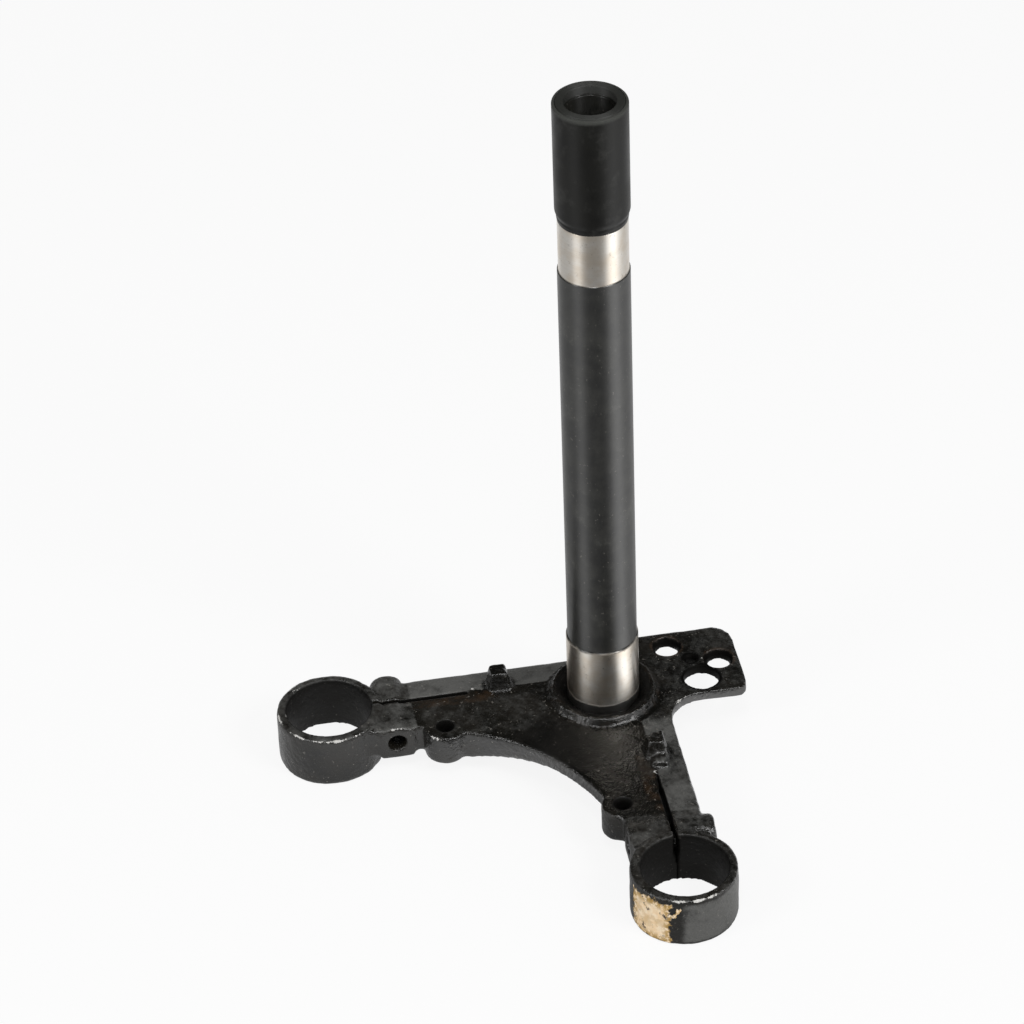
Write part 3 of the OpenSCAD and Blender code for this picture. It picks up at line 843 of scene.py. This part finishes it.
def dark_shank(tree, place, patches, mouth, look):
    """Dark satin steel with scuffs and dots, darker at its foot and duller at its mouth."""
    foot = band(tree, place, (BELOW_STEM, 0.0245), 0.0022, 0.0012)
    scuffs = remap(tree, noise(tree, place, 9.0, 6.0, 0.75), 0.56, 0.70)
    dots = remap(tree, noise(tree, place, 1.4, 2.0), 0.68, 0.72)
    tone = blend(tree, patches, colour(look.shank), SHANK_PATCH)
    tone = blend(tree, foot, tone, SHANK_FOOT)
    tone = tint(tree, tone, scuffs, 0.5, SCUFF)
    tone = tint(tree, tone, dots, 0.4, DOT)
    return blend(tree, mouth, tone, STEM_MOUTH)


def steel_material(look):
    """Turned steel: two bright ground seats, a dark satin shank, and a dark foot and bore."""
    material, tree, shader, place = new_material("turned_steel")
    seat = calc(tree, "ADD", band(tree, place, LOWER_SEAT, 0.0016, 0.0005),
                band(tree, place, UPPER_SEAT, 0.0, 0.0002), clamp=True)
    mouth = band(tree, place, (0.2893, ABOVE_STEM), 0.0, 0.0003)
    skin = grain(tree, place, Coarse=420.0, Fine=1600.0, Fine_Share=0.5, Patch=110.0)
    flat = put(tree, "ShaderNodeVectorMath", {0: place, 1: (6.0, 6.0, 900.0)}, operation="MULTIPLY")
    marks = texture(tree, flat.outputs[0], 3.0, 3.0)
    stain = remap(tree, noise(tree, place, 2.6, 5.0, 0.7), 0.58, 0.72)
    dull = dark_shank(tree, place, skin["Patches"], mouth, look)
    bright = ground_seats(tree, place, skin["Patches"], marks, stain, look)
    rough = remap(tree, seat, 0.0, 1.0, look.shank_rough, look.seat_rough, smooth=False)
    rough = plus(tree, rough, mouth, 0.3)
    rough = plus(tree, rough, stain, 0.10, clamp=True)
    height = plus(tree, skin["Height"], marks, 0.6)
    feed(tree, shader, Base_Color=blend(tree, seat, dull, bright), Metallic=seat, Roughness=rough,
         Normal=bump(tree, height, FINE_BUMP))
    turned_finish(tree, shader, 0.9, 0.75)
    return material


def sleeve_material(look):
    """Satin black sleeve with faint patches, fine grain and a lighter lip, partly scuffed and
    partly a painted highlight.
    """
    material, tree, shader, place = new_material("satin_black_sleeve")
    skin = grain(tree, place, Coarse=700.0, Fine=2600.0, Fine_Share=0.5, Patch=60.0)
    lip = band(tree, place, (0.2908, ABOVE_STEM), 0.0004, 0.0006)
    smudge = remap(tree, noise(tree, place, 14.0, 5.0, 0.7), 0.52, 0.68)
    tone = blend(tree, skin["Patches"], colour(look.sleeve), SLEEVE_PATCH)
    tone = tint(tree, tone, smudge, 0.65, SMUDGE)
    # The lip is lighter partly from scuffs and partly as a painted highlight on its rounded edge.
    tone = tint(tree, tone, lip, 0.5, SLEEVE_LIP_SCUFF_AND_HIGHLIGHT)
    rough = remap(tree, skin["Patches"], 0.0, 1.0, look.sleeve_rough,
                  look.sleeve_rough + ROUGH_SPREAD, smooth=False)
    feed(tree, shader, Base_Color=tone, Roughness=plus(tree, rough, lip, 0.2),
         Normal=bump(tree, skin["Height"], FINE_BUMP))
    turned_finish(tree, shader, 0.25, 0.6)
    return material


class YokeLook(bpy.types.PropertyGroup):
    """Sizes and colours of the cast yoke."""

    cell: FloatProperty(
        name="Cell", description="Size of the even mesh cells on the casting",
        default=0.0008, min=0.0005, max=0.003, precision=5, unit="LENGTH")
    rounding: IntProperty(
        name="Rounding", description="Rounds of smoothing that soften the cast edges",
        default=3, min=0, max=20)
    unevenness: FloatProperty(
        name="Unevenness", description="Depth of the uneven cast skin in millimetres",
        default=0.2, min=0, max=0.5)
    grain: FloatProperty(
        name="Grain", description="Width of the grain of the cast skin in millimetres",
        default=1.9, min=0.2, max=5)
    grain_depth: FloatProperty(
        name="Grain depth", description="Depth of that grain in millimetres",
        default=0.48, min=0, max=2)
    roughness: FloatProperty(
        name="Roughness", description="Roughness of the black paint",
        default=0.26, min=0.1, max=1, subtype="FACTOR")
    paint: FloatVectorProperty(
        name="Paint", description="Colour of the black paint",
        default=(0.0035, 0.0034, 0.0026), subtype="COLOR")
    paint_worn: FloatVectorProperty(
        name="Worn paint", description="Colour of the duller patches",
        default=(0.0100, 0.0085, 0.0060), subtype="COLOR")
    # This grey is partly dust and partly painted sheen, on rear strips, clamp tops, tab, deck and
    # the right clamp's wall.
    dust: FloatVectorProperty(
        name="Dust", description="Colour of the grey rear strips",
        default=(0.135, 0.135, 0.128), subtype="COLOR")
    rust: FloatVectorProperty(
        name="Rust", description="Colour of the rusty stains",
        default=(0.060, 0.033, 0.016), subtype="COLOR")
    bare: FloatVectorProperty(
        name="Bare patch", description="Colour of the patch without paint",
        default=(0.93, 0.68, 0.40), subtype="COLOR")


class StemLook(bpy.types.PropertyGroup):
    """Colours of the turned stem and its sleeve."""

    around: IntProperty(
        name="Around", description="Number of faces round the stem", default=240, min=48, max=720)
    seat: FloatVectorProperty(
        name="Seat", description="Colour of the ground seats",
        default=(0.76, 0.73, 0.68), subtype="COLOR")
    seat_warm: FloatVectorProperty(
        name="Warm seat", description="Colour of the seats' warmer patches",
        default=(0.68, 0.61, 0.52), subtype="COLOR")
    seat_rough: FloatProperty(
        name="Seat roughness", description="Roughness of the ground seats",
        default=0.29, min=0.05, max=1, subtype="FACTOR")
    shank: FloatVectorProperty(
        name="Shank", description="Colour of the dark shank",
        default=(0.0030, 0.0032, 0.0024), subtype="COLOR")
    shank_rough: FloatProperty(
        name="Shank roughness", description="Roughness of the dark shank",
        default=0.36, min=0.05, max=1, subtype="FACTOR")
    sleeve: FloatVectorProperty(
        name="Sleeve", description="Colour of the sleeve",
        default=(0.0022, 0.0022, 0.0018), subtype="COLOR")
    sleeve_rough: FloatProperty(
        name="Sleeve roughness", description="Roughness of the sleeve",
        default=0.38, min=0.05, max=1, subtype="FACTOR")


class StudioLook(bpy.types.PropertyGroup):
    """Levels of the studio."""

    sky: FloatProperty(
        name="Sky", description="Level of the light from all round", default=0.4, min=0, max=2)
    key: FloatProperty(
        name="Key", description="Power of the large lamp on the right",
        default=12.0, min=0, max=200, unit="POWER")
    fill: FloatProperty(
        name="Fill", description="Power of the lamp on the left",
        default=8.0, min=0, max=200, unit="POWER")
    top: FloatProperty(
        name="Top", description="Power of the lamp above the camera",
        default=8.0, min=0, max=200, unit="POWER")
    shadow: FloatProperty(
        name="Shadow", description="Share of the floor that keeps the shadow",
        default=0.12, min=0, max=1, subtype="FACTOR")
    lens: FloatProperty(
        name="Lens", description="Focal length of the camera in millimetres",
        default=158.0, min=20, max=400)


class STEM_OT_cast_yoke(bpy.types.Operator):
    """Build the cast yoke with its soft edges, uneven skin and worn paint"""

    bl_idname = "steering_stem.cast_yoke"
    bl_label = "Cast yoke"

    def execute(self, context):
        look = context.scene.yoke_look
        mesh = even_skin("yoke", look.cell)
        edges = read_rows(mesh.edges, "vertices", 2, np.int32)
        points = relaxed(read_points(mesh) / MM, edges, look.rounding)
        points = rounded_cast(points, edges)
        write_points(mesh, points * MM)
        normals = read_normals(mesh)
        bend = ((points - neighbour_mean(points, edges)) * normals).sum(axis=1)
        bend = neighbour_mean(bend[:, None], edges)[:, 0]
        bend /= np.percentile(bend, 98)
        masks = casting_masks(points, normals, bend)
        points = points + normals * cast_skin(points, normals, look.unevenness)[:, None]
        points = pinched(points)
        low, high = (np.array(corner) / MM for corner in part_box("yoke"))
        points = np.clip(points, low, high)
        write_points(mesh, points * MM)
        for name, values in masks.items():
            write_value(mesh, name, values)
        add_piece("yoke_casting", mesh, casting_material(look), "yoke")
        return {"FINISHED"}


class STEM_OT_turned_stem(bpy.types.Operator):
    """Build the turned stem with its shoulders, seats and stepped bore"""

    bl_idname = "steering_stem.turned_stem"
    bl_label = "Turned stem"

    def execute(self, context):
        look = context.scene.stem_look
        outline = rounded_profile(STEM_CORNERS, STEM_RADII)
        mesh = turned_surface("stem_turned", outline, look.around)
        add_piece("stem_turned", mesh, steel_material(look), "stem", sharp=50)
        return {"FINISHED"}


class STEM_OT_thread_sleeve(bpy.types.Operator):
    """Build the black sleeve with its drawn-in foot and rounded lip"""

    bl_idname = "steering_stem.thread_sleeve"
    bl_label = "Thread sleeve"

    def execute(self, context):
        look = context.scene.stem_look
        outline = rounded_profile(SLEEVE_CORNERS, SLEEVE_RADII, 9)
        mesh = turned_surface("sleeve", outline, look.around)
        add_piece("sleeve_satin", mesh, sleeve_material(look), "thread_sleeve",
                  sharp=50)
        return {"FINISHED"}


def fill_ring(tree, source, sink):
    """How bright the room is round the stem, as a curve over the compass angle."""
    parts = put(tree, "ShaderNodeSeparateXYZ", {0: source["Vector"]})
    angle = calc(tree, "ARCTAN2", parts.outputs["Y"], parts.outputs["X"])
    turned = calc(tree, "ADD", angle, math.radians(RING_START))
    ramp = put(tree, "ShaderNodeValToRGB", {
        0: calc(tree, "FRACT", calc(tree, "DIVIDE", turned, 2 * math.pi))})
    bands = ramp.color_ramp.elements
    for place, level in RING_STOPS[1:-1]:
        bands.new(place / 360)
    for stop, (place, level) in zip(bands, RING_STOPS):
        stop.position = place / 360
        stop.color = (level, level, level, 1.0)
    tree.links.new(ramp.outputs["Color"], sink["Level"])


def ring(tree, place):
    """The studio ring's level in the direction of place."""
    group = built_once("Studio ring", fill_ring, {"Vector": None}, ["Level"])
    return grouped(tree, group, Vector=place)["Level"]


def glow(tree, kind, strength):
    """A white emission or background."""
    return put(tree, kind, {"Color": (1, 1, 1, 1), "Strength": strength}).outputs[0]


def mix_shaders(tree, factor, first, second):
    return put(tree, "ShaderNodeMixShader", {0: factor, 1: first, 2: second}).outputs[0]


def by_ray(tree, plain, seen, mirrored, out):
    """End a tree in one shader for the camera, one for reflections and one for all the rest."""
    path = put(tree, "ShaderNodeLightPath").outputs
    first = mix_shaders(tree, path["Is Camera Ray"], plain, seen)
    last = mix_shaders(tree, path["Is Glossy Ray"], first, mirrored)
    tree.links.new(last, put(tree, out).inputs["Surface"])


def lay_floor(shadow):
    """The stage floor: white to the camera, with a share of plain shading for the shadow."""
    mesh = bpy.data.meshes.new("floor")
    mesh.from_pydata([(-6, -6, 0), (6, -6, 0), (6, 6, 0), (-6, 6, 0)], [], [(0, 1, 2, 3)])
    floor = new_object("floor", mesh)
    material = bpy.data.materials.new("white_floor")
    tree = blank_tree(material)
    place = put(tree, "ShaderNodeTexCoord").outputs["Object"]
    plain = put(tree, "ShaderNodeBsdfDiffuse", {"Color": (0.8, 0.8, 0.8, 1.0)}).outputs[0]
    seen = mix_shaders(tree, shadow, glow(tree, "ShaderNodeEmission", 1.0), plain)
    mirrored = glow(tree, "ShaderNodeEmission", ring(tree, place))
    by_ray(tree, plain, seen, mirrored, "ShaderNodeOutputMaterial")
    mesh.materials.append(material)


def light_room(look):
    """Dim light from all round, the floor's white to the camera, and the ring to reflections."""
    world = bpy.data.worlds.new("room")
    bpy.context.scene.world = world
    tree = blank_tree(world)
    direction = put(tree, "ShaderNodeTexCoord").outputs["Generated"]
    height = put(tree, "ShaderNodeSeparateXYZ", {0: direction}).outputs["Z"]
    fade = remap(tree, height, 0.06, 0.50, 1.0, 0.06)
    dim = remap(tree, dot(tree, direction, BEHIND_STEM), -0.1, 0.7, 0.75, 0.20)
    mirrored = times(tree, times(tree, ring(tree, direction), fade), dim)
    white = 1 - look.shadow * (1 - 0.8 * look.sky)
    levels = (glow(tree, "ShaderNodeBackground", level) for level in (look.sky, white, mirrored))
    by_ray(tree, *levels, "ShaderNodeOutputWorld")
    area_lamp("key_lamp", (1.3, -0.1, 1.2), 0.55, look.key)
    area_lamp("fill_lamp", (-0.6, -1.4, 1.1), 0.55, look.fill)
    area_lamp("top_lamp", (0.45, -0.75, 1.9), 0.5, look.top)


def area_lamp(name, place, size, power):
    """A square soft lamp pointed at the casting, all in metres."""
    lamp = bpy.data.lights.new(name, "AREA")
    lamp.shape = "RECTANGLE"
    lamp.size = lamp.size_y = size
    lamp.energy = power
    place = Vector(place)
    aim = (Vector(LAMP_AIM) - place).to_track_quat("-Z", "Y")
    holder = new_object(name, lamp)
    holder.matrix_world = Matrix.Translation(place) @ aim.to_matrix().to_4x4()


def camera_matrix():
    """Where the photograph was taken from, in the frame's metres."""
    azimuth, elevation, roll = (math.radians(a) for a in (AZIMUTH, ELEVATION, ROLL))
    back = np.array([math.sin(azimuth) * math.cos(elevation),
                     -math.cos(azimuth) * math.cos(elevation), math.sin(elevation)])
    right = np.cross(-back, (0, 0, 1))
    right /= np.linalg.norm(right)
    down = np.cross(-back, right)
    matrix = np.eye(4)
    matrix[:3, 0] = math.cos(roll) * right + math.sin(roll) * down
    matrix[:3, 1] = math.sin(roll) * right - math.cos(roll) * down
    matrix[:3, 2] = back
    matrix[:3, 3] = CAMERA_AIM + CAMERA_DISTANCE * back
    return Matrix(matrix.tolist())


def set_camera(lens):
    """The photograph's camera, and plain colours on the way to the picture."""
    scene = bpy.context.scene
    camera = bpy.data.cameras.new("camera")
    camera.lens = lens
    camera.sensor_width = 36.0
    camera.clip_end = 20.0
    holder = new_object("camera", camera)
    holder.matrix_world = camera_matrix()
    scene.camera = holder
    scene.view_settings.view_transform = "Standard"


class STEM_OT_studio(bpy.types.Operator):
    """Set the white floor, the soft lamps, the room's light and the camera"""

    bl_idname = "steering_stem.studio"
    bl_label = "Studio"

    def execute(self, context):
        look = context.scene.studio_look
        lay_floor(look.shadow)
        light_room(look)
        set_camera(look.lens)
        return {"FINISHED"}


class STEM_PT_panel(bpy.types.Panel):
    """Lists the parts of the steering stem"""

    bl_idname = "STEM_PT_panel"
    bl_label = "Steering stem"
    bl_space_type = "VIEW_3D"
    bl_region_type = "UI"
    bl_category = "Steering stem"

    def draw(self, context):
        for operator in OPERATORS:
            self.layout.operator(operator.bl_idname)
        scene = context.scene
        for look in (scene.yoke_look, scene.stem_look, scene.studio_look):
            box = self.layout.box()
            for name in look.bl_rna.properties.keys():
                if name not in ("rna_type", "name"):
                    box.prop(look, name)


OPERATORS = (STEM_OT_cast_yoke, STEM_OT_turned_stem, STEM_OT_thread_sleeve, STEM_OT_studio)
CLASSES = (YokeLook, StemLook, StudioLook) + OPERATORS + (STEM_PT_panel,)


def register():
    for made in CLASSES:
        bpy.utils.register_class(made)
    bpy.types.Scene.yoke_look = PointerProperty(type=YokeLook)
    bpy.types.Scene.stem_look = PointerProperty(type=StemLook)
    bpy.types.Scene.studio_look = PointerProperty(type=StudioLook)


def unregister():
    del bpy.types.Scene.yoke_look
    del bpy.types.Scene.stem_look
    del bpy.types.Scene.studio_look
    for made in reversed(CLASSES):
        bpy.utils.unregister_class(made)


def main():
    register()
    bpy.ops.steering_stem.cast_yoke()
    bpy.ops.steering_stem.turned_stem()
    bpy.ops.steering_stem.thread_sleeve()
    bpy.ops.steering_stem.studio()


if __name__ == "__main__":
    main()
